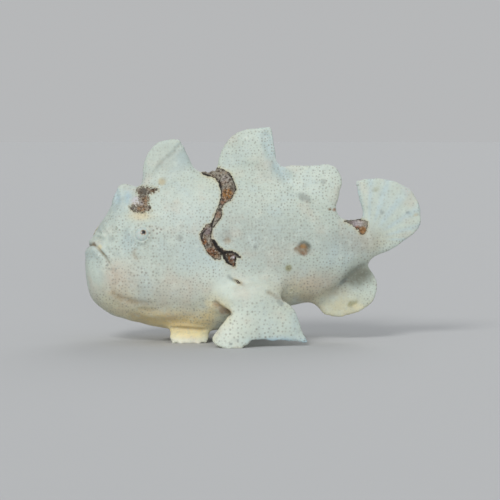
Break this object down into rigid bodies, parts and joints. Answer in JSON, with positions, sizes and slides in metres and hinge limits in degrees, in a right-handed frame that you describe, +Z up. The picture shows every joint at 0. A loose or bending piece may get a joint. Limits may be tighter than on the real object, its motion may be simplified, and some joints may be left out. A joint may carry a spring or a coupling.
{
  "type": "frogfish",
  "caption": "Life-size pale frogfish standing on its hand-like pectoral and pelvic fins, with a raised dorsal fin, an upturned mouth and a folded fishing lure.",
  "frame": {"origin": "on the floor under the middle of the animal's length and width, at the level of the flats that its fins stand on", "axes": "+Z up, +X towards the tip of the tail fin, so the head faces -X, and -Y towards the animal's left flank"},
  "size_m": [0.1259, 0.0566, 0.0803],
  "materials": {
    "skin": "pale grey-green fish skin, satin and slightly moist, with fine dark dots and a few warty dark crusts",
    "fin_skin": "pale grey-green fin skin, satin, with fine dark dots",
    "pale_foot_skin": "cream-yellow skin of the pelvic fins, satin",
    "eye": "clear wet eye with a pale ring and a small black pupil",
    "lure_skin": "thin pale brown skin of the lure, satin"
  },
  "bodies": {
    "root": {"lower_jaw": "skin", "head": "skin", "torso": "skin", "tail_stalk": "skin", "arm_left": "skin", "arm_right": "skin", "second_dorsal_spine": "fin_skin", "third_dorsal_spine": "fin_skin", "dorsal_fin_front": "fin_skin", "dorsal_fin_rear": "fin_skin", "anal_fin": "fin_skin", "caudal_fin": "fin_skin", "hand_fin_left": "fin_skin", "hand_fin_right": "fin_skin", "pelvic_fin_left": "pale_foot_skin", "pelvic_fin_right": "pale_foot_skin", "eye_left": "eye", "eye_right": "eye", "fishing_rod": "lure_skin"}
  },
  "joints": []
}
